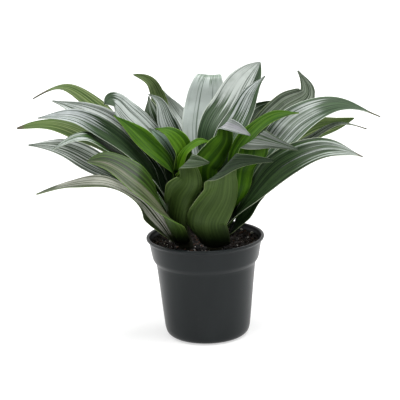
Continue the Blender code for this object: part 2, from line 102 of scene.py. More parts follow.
FLATTEN_AT = (-8, 0, 12)
FLATTEN_BY = (1.0, 0.25, 0.6)
PATH_STEPS = 60
ARCH_STEPS = 60

# Fine leaf surface: places over the blade, its pleats, and its dried tip and margin
FINE_ACROSS = 44
FINE_ALONG = 64
EDGE_CROWD = 0.55
TIP_CROWD = 0.97
FINE_BLADE = 0.8
PLEAT_WIDTH = 5.0
PLEAT_HEIGHT = 0.3
FEWEST_PLEATS = 3
PLEAT_WANDER = 0.05
WANDER_TURNS = 1.3
PLEAT_UNEVEN = 0.035
UNEVEN_TURNS = 1.4
PLEAT_SHALLOW = 0.3
SHALLOW_TURNS = 1.1
PLEAT_SHARP = 0.8
PLEAT_FADE_AT = (0, 0.08, 0.25, 0.8, 1)
PLEAT_FADE = (0.35, 0.6, 1, 0.8, 0)
THREAD_AT = (0.8, 0.94, 1.0)
THREAD_WIDTH = (1.0, 0.92, 0.9)
THREAD_THICK = (1.0, 1.2, 1.7)
MARGIN_AT = (0, 0.9, 1)
MARGIN_THICK = (1, 1, 0.45)
TINY = 1e-9

# Pot surface
POT_SIDES = 144
DRAIN_SIDES = 24
SHARP_EDGE = 38
CORNER_CUTS = 2
CORNER_CUT = 0.22
POT_DARK = (0.0050, 0.0076, 0.0084)
POT_LIGHT = (0.0085, 0.0118, 0.0128)
POT_SMEARS = (0.3, 0.75)
POT_DUST = (0.10, 0.095, 0.09)
POT_DUST_RAMP = (0.66, 0.8)
POT_DUST_SHARE = 0.12
POT_ROUGH = 0.27
POT_ROUGH_SPREAD = 0.14
POT_GRAIN = 0.04
POT_GLOSS = 0.2

# Cane surface: colours far darker than the cane's own, as painted shade
CANE_SIDES = 40
CANE_STEPS = 90
CANE_CHAMFER = 1.2
CANE_RING_DEPTH = 0.18
CANE_RING_GAP = 4.5
CANE_SHADED_DARK = (0.006, 0.008, 0.003)
CANE_SHADED_LIGHT = (0.018, 0.016, 0.008)
CANE_PATCHES = (0.35, 0.7)
CANE_ROUGH = 0.8
CANE_GRAIN = 0.2
CANE_GLOSS = 0.1

# Soil surface: its crumbs, the bank at the wall, and painted shade on the soil between the feet of the
# leaves
SOIL_RINGS = 44
SOIL_SIDES = 140
SOIL_SINK = 0.3
SOIL_FINE = 0.55
SOIL_FINE_SIZES = (2.3, 1.1)
SOIL_FINEST = 0.6
SOIL_BANK = 9.0
SOIL_BANK_FROM = 42
SOIL_SHADE_PLACE = (-5, -15)
SOIL_SHADE_REACH = (22, 36)
SOIL_SHADE = (0.0030, 0.0022, 0.0016)
SOIL_DARK = (0.006, 0.004, 0.003)
SOIL_LIGHT = (0.028, 0.014, 0.009)
SOIL_CLUMPS = (0.38, 0.66)
SOIL_FLECK = (0.07, 0.035, 0.02)
SOIL_FLECKS = (0.6, 0.74)
SOIL_FLECK_SHARE = 0.7
SOIL_ROUGH = 0.95
SOIL_GRAIN = 1.2

# Loose bits on the soil: bark chips and white grains, with the places of the largest grains
BARK_DARK = (0.03, 0.012, 0.006)
BARK_LIGHT = (0.1, 0.045, 0.02)
BARK_ROUGH = 0.85
BARK_GRAIN = 0.3
WHITE_PORES = (0.34, 0.31, 0.27)
WHITE_FACE = (0.72, 0.70, 0.66)
WHITE_RAMP = (0.35, 0.6)
WHITE_ROUGH = 0.9
WHITE_GRAIN = 0.4
SQUASH = (0.6, 1.0)
SCATTER_RADIUS = 53.5
LARGE_PLACES = ((-35.7, 5.7), (38.5, 37.0), (43.8, 12.1), (48.4, 23.0), (31.7, -12.5), (-11.1, -26.0))
CRUMBS = dict(count=1500, seed=11, sizes=(0.5, 1.9), sink=0.15, dent=0.9)
CHIPS = dict(count=160, seed=12, sizes=(0.8, 2.2), sink=0.3, dent=0.9)
GRAINS = dict(count=110, seed=13, sizes=(0.35, 1.1), sink=0.35, dent=0.7)
LARGE_GRAINS = dict(count=len(LARGE_PLACES), seed=14, sizes=(1.6, 2.5), sink=0.45, dent=0.7)

# Camera, in millimetres and degrees
CAMERA_RISE = 14.5
CAMERA_TILT = 1.7
CAMERA_DISTANCE = 1550
CAMERA_TARGET = (-4.25, 0, 141.2)
CAMERA_CLIP = 20_000
FRAME_WIDTH = 407
SENSOR = 36

# Light and floor, with places and sizes in metres
WORLD_LIGHT = 1.0
WORLD_DIM = 0.12
WORLD_BRIGHT_SIDE = (0.0, 0.6, 0.8)
WORLD_TURN = (-0.35, 0.55)
SUN_FROM = (0.05, -0.15, 1.0)
SUN_WIDTH = 38
SUN_STRENGTH = 3.2
WINDOWS = {"left_window": (-1.2, 0.5, 1.0), "right_window": (1.3, 0.6, 0.9)}
WINDOW_SIZE = (0.8, 1.0)
WINDOW_AIM = (0, 0, 0.2)
WINDOW_POWER = 8
FLOOR_HALF = 6
FLOOR_DROP = 0.0005
FLOOR_GREYS = ((0.48, 0.48, 0.48), (0.52, 0.52, 0.52))
FLOOR_ROUGH = 0.9
FLOOR_GLOW = 0.55
FLOOR_GLOW_GREYS = ((0.97, 0.97, 0.97), (1, 1, 1))

# Noises of the materials: how fine each is, its detail and its roughness
NOISES = dict(
    leaf_fine=(1.0, 4, 0.62), leaf_broad=(1.0, 3, 0.6), leaf_vein=(1.0, 2, 0.5), leaf_blotch=(60, 3, 0.5),
    pot_grain=(900, 2, 0.5), pot_smear=(22, 4, 0.6), pot_dust=(240, 3, 0.7), cane_grain=(260, 3, 0.6),
    cane_patch=(60, 3, 0.6), clump=(160, 5, 0.7), fleck=(900, 3, 0.7), bark=(400, 3, 0.6),
    pores=(1300, 3, 0.7), floor=(40, 2, 0.5),
)

# Leaf skin: the limits between which a noise or a place on the blade goes from none to full
FINE_RAMP = (0.38, 0.62)
# limits of the painted sheen stripes, a painted reflection of the overhead light
PAINTED_SHEEN_RAMP = (0.70, 0.90)
BLOTCH_RAMP = (0.3, 0.6)
VEIN_RAMP = (0.57, 0.63)
# limits of the painted shade in the pleat valleys
VALLEY_SHADE_RAMP = (0.0, 0.2)
MARGIN_RAMP = (0.478, 0.496)
BAND_BLUR = 0.07
TIP_BLUR = 0.03

# Leaf skin: how strong each of its marks is
LEAF_STEP = 40.0
FINE_STRETCH = 1.4
BROAD_STRETCH = 0.7
VEIN_STRETCH = 0.5
VEINS_A_STRIPE = 1.5
RAGGED = 0.5
# how far the painted sheen reaches over the blade
PAINTED_SHEEN_REACH = 0.5
# how much more painted sheen lies on the pleat ridges, as a painted highlight
RIDGE_SHEEN_PULL = 0.06
BLOTCH_DEPTH = 0.3
# how dark the painted shade in the pleat valleys is
VALLEY_SHADE = 0.6
MARGIN_SHARE = 0.8
# how dark the painted shade at the leaf's foot is
FOOT_SHADE_SHARE = 0.9
ROUGH_SPREAD = 0.2
FINE_RISE = 0.5
VEIN_RISE = -0.6
LEAF_GRAIN = 0.2
TIP_BROWN = (0.060, 0.050, 0.028)
# colour of the painted shade at the leaf's foot
LEAF_FOOT_SHADE = (0.003, 0.006, 0.002)

# Finishes of the leaf faces: deep and plain green, painted sheen (a painted reflection of the overhead
# light) and its share, the margin, and how they lie
FINISHES = {
    "dark": dict(
        deep=(0.004, 0.012, 0.003), green=(0.024, 0.052, 0.014), silver=(0.17, 0.21, 0.16), share=0.35,
        margin=(0.18, 0.22, 0.12), roughness=0.45,
    ),
    "grey": dict(
        deep=(0.004, 0.014, 0.003), green=(0.034, 0.068, 0.020), silver=(0.27, 0.31, 0.275), share=0.6,
        margin=(0.34, 0.38, 0.28), shine=(0.2, 0.75), lines=0.95, shift=2.0, roughness=0.45,
    ),
    "silver": dict(
        deep=(0.010, 0.026, 0.008), green=(0.050, 0.092, 0.040), silver=(0.44, 0.485, 0.46), share=0.8,
        margin=(0.5, 0.55, 0.48), shine=(0.1, 0.65), lines=0.95, shift=4.0, roughness=0.45,
    ),
    # pale: a face lightened almost all over, its greens too, as painted sheen
    "pale": dict(
        deep=(0.09, 0.13, 0.09), green=(0.33, 0.39, 0.34), silver=(0.52, 0.58, 0.55), share=1.0,
        margin=(0.6, 0.66, 0.6), stripes=9, roughness=0.34, gloss=0.3, foot=0.1, shine=(0.0, 0.25),
        shift=5.0,
    ),
    "cream": dict(
        deep=(0.014, 0.024, 0.006), green=(0.06, 0.085, 0.03), silver=(0.36, 0.36, 0.28), share=0.6,
        margin=(0.22, 0.28, 0.12), streaks=26, roughness=0.34, foot=0.08, lines=0.9, shine=(0.0, 0.1),
        shift=6.0,
    ),
    "striped": dict(
        deep=(0.010, 0.018, 0.004), green=(0.042, 0.092, 0.010), silver=(0.17, 0.18, 0.13), share=0.7,
        margin=(0.12, 0.24, 0.03), streaks=24, roughness=0.34, gloss=0.25, shift=8.0,
    ),
    "olive": dict(
        deep=(0.026, 0.056, 0.007), green=(0.056, 0.100, 0.016), silver=(0.20, 0.25, 0.10), share=0.5,
        margin=(0.20, 0.26, 0.09), streaks=20, gloss=0.15, lines=0.4, foot=0.3,
        shift=10.0,
    ),
    "back": dict(
        deep=(0.036, 0.066, 0.013), green=(0.062, 0.105, 0.024), silver=(0.11, 0.15, 0.07), share=0.3,
        margin=(0.16, 0.22, 0.07), streaks=20, gloss=0.12, lines=0.0, foot=0.34,
        shine=(0.4, 0.8), shift=11.0,
    ),
    "under": dict(
        deep=(0.014, 0.032, 0.004), green=(0.040, 0.072, 0.012), silver=(0.12, 0.155, 0.07), share=0.4,
        margin=(0.14, 0.20, 0.06), streaks=22, lines=0.5, shift=12.0,
    ),
    "young": dict(
        deep=(0.026, 0.080, 0.002), green=(0.070, 0.168, 0.004), silver=(0.16, 0.29, 0.03), share=0.25,
        margin=(0.26, 0.40, 0.08), streaks=10, gloss=0.1, lines=0.15, shift=14.0,
    ),
    "vivid": dict(
        deep=(0.016, 0.054, 0.002), green=(0.048, 0.122, 0.004), silver=(0.12, 0.22, 0.03), share=0.25,
        margin=(0.24, 0.37, 0.08), streaks=8, gloss=0.1, lines=0.15, shift=16.0,
    ),
}


def look(upper, under, **own):
    """The finishes of a leaf's upper and under face, and what its upper face has of its own."""
    return upper, under, own


# Leaves whose look isn't the plain one. Each sets its own painted sheen, and several also make their greens
# lighter on some leaves and darker on others to match the light on each leaf, as painted light and shade.
PLAIN_LOOK = look("dark", "under")
YOUNG_LOOK = look("young", "young")
LOOKS = {
    "left_leaf_01": look("cream", "under", share=0.62, band=(-1.0, 0.75), silver=(0.50, 0.50, 0.44),
        fade=(0.86, 0.95)),
    "left_leaf_03": look("striped", "olive", band=(0.5, 2.0), shine=(0.0, 0.3),
        silver=(0.13, 0.13, 0.09), green=(0.044, 0.098, 0.009)),
    "left_leaf_04": look("dark", "back", share=0.6, silver=(0.14, 0.18, 0.12),
        green=(0.034, 0.066, 0.018)),
    "left_leaf_07": look("silver", "under", share=0.54, shine=(0.1, 0.6), silver=(0.62, 0.66, 0.63),
        green=(0.028, 0.056, 0.018)),
    "left_leaf_08": look("olive", "olive", tip=0.95),
    "left_leaf_09": look("silver", "vivid", green=(0.045, 0.120, 0.008), shine=(0.68, 0.85), share=0.75),
    "left_leaf_10": look("silver", "under", share=0.75, shine=(0.5, 0.85),
        silver=(0.48, 0.52, 0.52), green=(0.036, 0.070, 0.024)),
    "left_leaf_11": look("olive", "olive", tip=0.9),
    "left_leaf_12": look("silver", "under", share=0.8, shine=(0.05, 0.7), silver=(0.52, 0.56, 0.54)),
    "left_leaf_13": look("grey", "under", share=0.45),
    "left_leaf_14": look("silver", "under", share=0.85, silver=(0.5, 0.55, 0.52), fade=(0.85, 0.95)),
    "left_leaf_15": look("grey", "under", silver=(0.2, 0.28, 0.22), green=(0.04, 0.08, 0.03), share=0.7),
    "left_leaf_18": look("vivid", "vivid"),
    "right_leaf_01": look("dark", "back", share=0.1, green=(0.014, 0.032, 0.008)),
    "right_leaf_03": look("grey", "under", tip=0.93),
    "right_leaf_04": look("grey", "under", tip=0.93, shine=(0.3, 0.9), share=0.65,
        silver=(0.36, 0.40, 0.37)),
    "right_leaf_06": look("olive", "olive"),
    "right_leaf_07": look("dark", "vivid", share=0.6, silver=(0.12, 0.135, 0.12)),
    "right_leaf_09": look("silver", "olive", tip=0.92, share=0.65, silver=(0.32, 0.355, 0.33),
        shine=(0.0, 0.5), fade=(0.65, 0.8)),
    "right_leaf_10": look("pale", "vivid", silver=(0.26, 0.26, 0.28), green=(0.17, 0.19, 0.18)),
    "right_leaf_11": look("dark", "under", share=0.7, green=(0.055, 0.095, 0.036),
        silver=(0.23, 0.27, 0.21)),
    "right_leaf_12": look("vivid", "vivid"),
    "back_leaf_11": look("olive", "olive", green=(0.07, 0.11, 0.04)),
    "back_leaf_12": look("pale", "under", silver=(0.8, 0.86, 0.83), green=(0.6, 0.68, 0.62)),
    "back_leaf_13": look("pale", "under", fade=(0.7, 0.95)),
    "back_leaf_14": look("silver", "under", shine=(0.4, 0.8), share=0.8, band=(0.3, 2.0),
        silver=(0.46, 0.5, 0.49)),
    "back_leaf_15": look("silver", "olive", share=0.7),
    "back_leaf_16": look("silver", "under", shine=(0.4, 0.8), share=0.8, silver=(0.46, 0.5, 0.47),
        band=(0.25, 2.0)),
}


# Materials


class Nodes:
    """A short way to write the node tree of a material or of the world."""

    def __init__(self, owner, shader="Principled BSDF"):
        owner.use_nodes = True
        self.owner, self.tree = owner, owner.node_tree
        self.shader = self.tree.nodes[shader]

    def put(self, kind, inputs=None, **settings):
        node = self.tree.nodes.new("ShaderNode" + kind)
        for key, value in settings.items():
            setattr(node, key, value)
        for key, value in (inputs or {}).items():
            self.give(node.inputs[key], value)
        return node

    def give(self, socket, value):
        if isinstance(value, bpy.types.NodeSocket):
            self.tree.links.new(value, socket)
        elif socket.type == "RGBA":
            socket.default_value = (*value, 1)
        else:
            socket.default_value = value

    def place(self):
        return self.put("TexCoord").outputs["Object"]

    def math(self, operation, a, b=0.0):
        return self.put("Math", {0: a, 1: b}, operation=operation).outputs[0]

    def add(self, a, b):
        return self.math("ADD", a, b)

    def times(self, a, b):
        return self.math("MULTIPLY", a, b)

    def less(self, a, b):
        return self.math("SUBTRACT", a, b)

    def vector(self, operation, a, b):
        return self.put("VectorMath", {0: a, 1: b}, operation=operation).outputs

    def mix(self, share, a, b):
        return self.put("Mix", {0: share, 6: a, 7: b}, data_type="RGBA").outputs[2]

    def ramp(self, value, low, high, first=0.0, last=1.0):
        """first below low, last above high, smooth between."""
        limits = {"Value": value, "From Min": low, "From Max": high, "To Min": first, "To Max": last}
        return self.put("MapRange", limits, interpolation_type="SMOOTHSTEP").outputs["Result"]

    def noise(self, kind, vector, stretch=(1, 1, 1), shift=(0, 0, 0)):
        mapping = self.put("Mapping", {"Vector": vector, "Scale": stretch, "Location": shift})
        scale, detail, roughness = NOISES[kind]
        given = {"Vector": mapping.outputs[0], "Scale": scale, "Detail": detail, "Roughness": roughness}
        return self.put("TexNoise", given).outputs["Fac"]

    def surface(self, colour, roughness, height=None, lift=0.0, **fixed):
        self.give(self.shader.inputs["Base Color"], colour)
        self.give(self.shader.inputs["Roughness"], roughness)
        for key, value in fixed.items():
            self.shader.inputs[key.replace("_", " ")].default_value = value
        if height is not None:
            bump = self.put("Bump", {"Height": height, "Distance": lift * MM})
            self.give(self.shader.inputs["Normal"], bump.outputs[0])
        return self.owner


def material(name):
    return Nodes(bpy.data.materials.new(name))


def leaf_finish(
    name, deep, green, silver, share, margin, gloss=0.2, stripes=16, streaks=34, roughness=0.5, foot=0.2,
    lines=0.75, shine=(0.2, 0.7), fade=(2.0, 3.0), band=(-1.0, 2.0), tip=1.1, shift=0.0,
):
    """Blade skin: painted sheen stripes on green, dark fine veins, painted shade in the pleat valleys, a
    pale margin, a dark foot of painted shade and a browned tip.

    The painted sheen stands for the overhead light that the glossy blade reflects, and covers up to share of
    the face; more of it lies on the pleat ridges as a painted highlight. It begins and is full at the shares
    of the length in shine, goes again at those in fade, and keeps to the part of the width in band. The
    painted shade of the foot ends at foot and the brown tip begins at tip, shares of the length too. lines
    is how strong the veins and the painted valley shade are, and shift moves the pattern, so that two
    finishes don't share one.
    """
    made = material(name)
    place = made.put("TexCoord").outputs
    u, v, _ = made.put("SeparateXYZ", {0: place["UV"]}).outputs
    ridge = made.put("Attribute", attribute_name="ridge").outputs["Fac"]
    own = made.times(made.put("Attribute", attribute_name="leaf").outputs["Fac"], LEAF_STEP)
    step = made.put("CombineXYZ", {0: own, 1: own, 2: own}).outputs[0]
    uv = made.vector("ADD", place["UV"], step)[0]
    fine = made.noise("leaf_fine", uv, stretch=(streaks, FINE_STRETCH, 1), shift=(shift, 0, shift))
    broad = made.noise("leaf_broad", uv, stretch=(stripes, BROAD_STRETCH, 1), shift=(shift + 3, shift, 0))
    stretch = (stripes * VEINS_A_STRIPE, VEIN_STRETCH, 1)
    veins = made.noise("leaf_vein", uv, stretch=stretch, shift=(shift, 5, 0))
    blotch = made.noise("leaf_blotch", place["Object"], shift=(shift, shift, 0))

    colour = made.mix(made.ramp(fine, *FINE_RAMP), deep, green)
    ragged = made.add(u, made.times(made.less(fine, 0.5), RAGGED))
    begun = made.ramp(ragged, band[0] - BAND_BLUR, band[0] + BAND_BLUR)
    ended = made.ramp(ragged, band[1] - BAND_BLUR, band[1] + BAND_BLUR)
    inside = made.times(begun, made.less(1.0, ended))
    # Painted sheen: pale stripes standing for the overhead light that the glossy blade reflects, laid out by
    # shine, fade, band and share
    reach = made.times(made.ramp(v, *shine), made.less(1.0, made.ramp(v, *fade)))
    reach = made.times(made.times(reach, inside), share * PAINTED_SHEEN_REACH)
    # More painted sheen on the pleat ridges, as a painted highlight
    reach = made.add(reach, made.times(made.less(ridge, 0.5), RIDGE_SHEEN_PULL))
    silvered = made.ramp(made.add(broad, reach), *PAINTED_SHEEN_RAMP)
    patchy = made.add(made.times(made.ramp(blotch, *BLOTCH_RAMP), BLOTCH_DEPTH), 1 - BLOTCH_DEPTH)
    colour = made.mix(made.times(silvered, patchy), colour, silver)

    thin = made.times(made.ramp(veins, *VEIN_RAMP), lines)
    # Painted shade in the pleat valleys
    valley_shade = made.times(made.less(1.0, made.ramp(ridge, *VALLEY_SHADE_RAMP)), lines * VALLEY_SHADE)
    colour = made.mix(made.math("MAXIMUM", thin, valley_shade), colour, deep)
    off = made.math("ABSOLUTE", made.less(u, 0.5))
    colour = made.mix(made.times(made.ramp(off, *MARGIN_RAMP), MARGIN_SHARE), colour, margin)
    # Painted shade at the leaf's foot, darkest where it leaves the cane
    low = made.times(made.less(1.0, made.ramp(v, 0.0, foot)), FOOT_SHADE_SHARE)
    colour = made.mix(low, colour, LEAF_FOOT_SHADE)
    colour = made.mix(made.ramp(v, tip, tip + TIP_BLUR), colour, TIP_BROWN)
    rough = made.add(made.times(fine, ROUGH_SPREAD), roughness - ROUGH_SPREAD / 2)
    height = made.add(made.times(fine, FINE_RISE), made.times(veins, VEIN_RISE))
    return made.surface(colour, rough, height, LEAF_GRAIN, Specular_IOR_Level=gloss)


# Form of the leaves, as in the solids


def cubic(part):
    """What a cubic's start, the slope there, its end and the slope there count at part of the way."""
    start, end = 2 * part**3 - 3 * part**2 + 1, 3 * part**2 - 2 * part**3
    return start, part**3 - 2 * part**2 + part, end, part**3 - part**2


def along(knots, values, shares):
    """Smooth curve through (knot, value) pairs that never overshoots, read at shares."""
    knots, values = np.asarray(knots, float), np.asarray(values, float)
    gaps = np.diff(knots)
    slopes = np.diff(values) / gaps
    bends = np.zeros(len(knots))
    before, after = slopes[:-1], slopes[1:]
    same = before * after > 0
    bends[1:-1][same] = 2 * before[same] * after[same] / (before[same] + after[same])
    bends[0], bends[-1] = slopes[0], slopes[-1]
    left = np.clip(np.searchsorted(knots, shares, side="right") - 1, 0, len(gaps) - 1)
    gap, part = gaps[left], (shares - knots[left]) / gaps[left]
    a, b, c, d = cubic(part)
    return values[left] * a + bends[left] * gap * b + values[left + 1] * c + bends[left + 1] * gap * d


def on_cane(cane, height):
    """The cane's middle and radius at a height above the soil."""
    share = height / cane["height"]
    foot, lean = np.array(cane["foot"], float), np.array(cane["lean"], float)
    middle = np.append(foot + lean * share, SOIL_TOP + height)
    return middle, CANE_RADIUS + (CANE_TIP_RADIUS - CANE_RADIUS) * share


def smooth_path(points, start):
    """A curve through the points that leaves the first along start, and its length so far at each place."""
    points = np.asarray(points, float)
    spans = np.linalg.norm(np.diff(points, axis=0), axis=1)
    ways = np.diff(points, axis=0) / spans[:, None]
    heads = np.empty_like(points)
    heads[0] = start
    for i in range(1, len(points) - 1):
        heads[i] = (ways[i - 1] * spans[i] + ways[i] * spans[i - 1]) / (spans[i - 1] + spans[i])
    heads[-1] = 1.5 * ways[-1] - 0.5 * heads[-2]
    a, b, c, d = cubic(np.linspace(0, 1, PATH_STEPS + 1)[:, None])
    runs = [
        points[i] * a + heads[i] * span * b + points[i + 1] * c + heads[i + 1] * span * d
        for i, span in enumerate(spans)
    ]
    curve = np.vstack([runs[0]] + [run[1:] for run in runs[1:]])
    steps = np.linalg.norm(np.diff(curve, axis=0), axis=1)
    return curve, np.concatenate([[0], np.cumsum(steps)])


def level_side(heading):
    return np.array([-heading[1], heading[0], 0])


def leaf_frames(leaf, shares):
    """Middle line, and the unit vectors across the blade and out of its upper face, at shares of it."""
    middle, radius = on_cane(leaf["cane"], leaf["height"])
    out = (np.array(leaf["path"][0]) - middle)[:2]
    out = out / np.linalg.norm(out)
    seat = middle + (radius + SEAT_GAP + BLADE / 2) * np.append(out, 0)
    rise = math.radians(leaf["rise"])
    curve, run = smooth_path([seat, *leaf["path"]], np.append(out * math.cos(rise), math.sin(rise)))
    at = shares * run[-1]
    heads = np.gradient(curve, run, axis=0)
    place = np.stack([np.interp(at, run, curve[:, k]) for k in range(3)], 1)
    head = np.stack([np.interp(at, run, heads[:, k]) for k in range(3)], 1)
    head /= np.linalg.norm(head, axis=1, keepdims=True)
    way = (curve[-1] - curve[0])[:2]
    way = way / np.linalg.norm(way)
    if leaf["face"]:
        out, way = [(math.cos(math.radians(a)), math.sin(math.radians(a))) for a in leaf["face"]]
    turned_by = np.clip(shares / TURN_DONE, 0, 1)[:, None]
    turned_by = turned_by**2 * (3 - 2 * turned_by)
    side = level_side(out) * (1 - turned_by) + level_side(way) * turned_by
    side = side - head * (side * head).sum(1, keepdims=True)
    side /= np.linalg.norm(side, axis=1, keepdims=True)
    up = np.cross(head, side)
    roll = np.radians(along(ROLL_STATIONS[len(leaf["roll"])], leaf["roll"], shares))[:, None]
    return place, side * np.cos(roll) + up * np.sin(roll), up * np.cos(roll) - side * np.sin(roll), radius


def half_widths(leaf, shares):
    """Half the blade's width at shares of its length. A folded blade is narrower at its crease."""
    blunt = leaf["blunt"]
    stations = STATIONS
    widths = [a + (b - a) * blunt for a, b in zip(HALF_WIDTHS, BLUNT_HALF_WIDTHS)]
    if leaf["fold"]:
        crease, _, widths = leaf["fold"]
        flap = crease + FLAP_MIDDLE * (1 - crease)
        stations = (0.0, STATIONS[1], WIDEST_TO_CREASE * crease, crease, flap, 1.0)
        widths = (*widths, HALF_WIDTHS[-1])
    widths = [leaf["base"], leaf["base"] + BASE_SPREAD, *widths]
    return leaf["width"] / 2 * along(stations, widths, shares)


def fold_over(points, leaf):
    """Bends what lies past a slanting crease over towards the blade's lower face."""
    crease, slant, _ = leaf["fold"]
    place, side, up, _ = leaf_frames(leaf, np.array([crease]))
    place, side, up = place[0], side[0], up[0]
    head = np.cross(side, up)
    slant = math.radians(slant)
    line = side * math.cos(slant) + head * math.sin(slant)
    ahead = head * math.cos(slant) - side * math.sin(slant)
    off = points - place
    beside, past, below = off @ line, off @ ahead, -(off @ up)
    below = below * np.interp(past, FLATTEN_AT, FLATTEN_BY)
    full = math.radians(FOLD_TURN)
    angle = np.clip(past / FOLD_RADIUS, 0, full)
    rest = np.clip(past - FOLD_RADIUS * full, 0, None)
    level = (FOLD_RADIUS - below) * np.sin(angle) + rest * np.cos(angle)
    sunk = FOLD_RADIUS - (FOLD_RADIUS - below) * np.cos(angle) + rest * np.sin(angle)
    level = np.where(past > 0, level, past)
    sunk = np.where(past > 0, sunk, below)
    return place + beside[..., None] * line + level[..., None] * ahead - sunk[..., None] * up


def leaf_points(leaf, across, shares):
    """Middle of the blade's thickness in millimetres, in rows along the leaf of places across it."""
    place, side, up, radius = leaf_frames(leaf, shares)
    half = half_widths(leaf, shares)
    clasp = min(leaf["clasp"], math.degrees(2 * half[0] / (radius + SEAT_GAP + BLADE / 2)))
    cup = leaf["cup"]
    turns = (clasp, CLASP_SHARE * clasp + (1 - CLASP_SHARE) * cup, cup, cup, TIP_CUP * cup)
    turn = np.radians(along(CUP_STATIONS, turns, shares))
    bend = half / (turn / 2)
    angle = across[None, :] * turn[:, None] / 2
    out = bend[:, None] * np.sin(angle)
    lift = bend[:, None] * (1 - np.cos(angle))
    reach = np.sin(np.pi * np.clip((shares - WAVE_START) / WAVE_SPAN, 0, 1))[:, None]
    phase = FULL_TURN * WAVES * shares[:, None] + WAVE_LAG * np.sign(across)[None, :]
    lift = lift + WAVE_HEIGHT * reach * across[None, :] ** 2 * np.sin(phase)
    points = place[:, None] + out[..., None] * side[:, None] + lift[..., None] * up[:, None]
    return fold_over(points, leaf) if leaf["fold"] else points


PLAIN_LEAF = dict(
    rise=70, roll=(0, 0, 0), cup=40, base=0.4, face=None, clasp=120, fold=None, blunt=0, young=False
)


def leaf(height, width, path, **own):
    """A leaf that leaves its cane at a height above the soil and runs through the points of its path.

    rise is its slope where it leaves the cane, and base its width there as a share of its width. roll turns
    the blade about its middle line, from its foot to its tip, and cup is how far its section curls. clasp
    limits how far round the cane its foot reaches. face gives two headings for the blade, at its foot and
    past its middle, where they aren't those of its path. fold is a crease: its share of the length, its
    slant to the blade, and the blade's width before it, at it and on the flap past it, as shares. blunt is
    how broad it stays towards its tip, from 0 for a drawn-out tip to 1.
    """
    return dict(PLAIN_LEAF, height=height, width=width, path=path, **own)


def arched(height, heading, length, width, slopes, **own):
    """A leaf on one heading, whose slope runs evenly through the slopes from its foot to its tip."""
    return leaf(height, width, None, rise=slopes[0], arch=(heading, length, slopes), **own)


def arch_path(cane, height, heading, length, slopes):
    middle, radius = on_cane(cane, height)
    way = np.array([math.cos(math.radians(heading)), math.sin(math.radians(heading)), 0])
    shares = np.linspace(0, 1, ARCH_STEPS + 1)
    slope = np.radians(np.interp(shares, np.linspace(0, 1, len(slopes)), slopes))
    steps = np.cos(slope)[:, None] * way + np.sin(slope)[:, None] * np.array([0, 0, 1])
    run = middle + (radius + SEAT_GAP + BLADE / 2) * way + np.cumsum(steps, axis=0) * length / ARCH_STEPS
    return [tuple(np.round(run[ARCH_STEPS * i // 3])) for i in (1, 2, 3)]


def all_leaves():
    """Every leaf by its node's name, each with its cane and its path."""
    found = {}
    for cane, leaves in (("left", LEFT), ("right", RIGHT), ("back", BACK)):
        for number, row in enumerate(leaves, 1):
            row["cane"] = CANES[cane]
            if row["path"] is None:
                row["path"] = arch_path(row["cane"], row["height"], *row["arch"])
            found[f"{cane}_leaf_{number:02d}"] = row
    return found


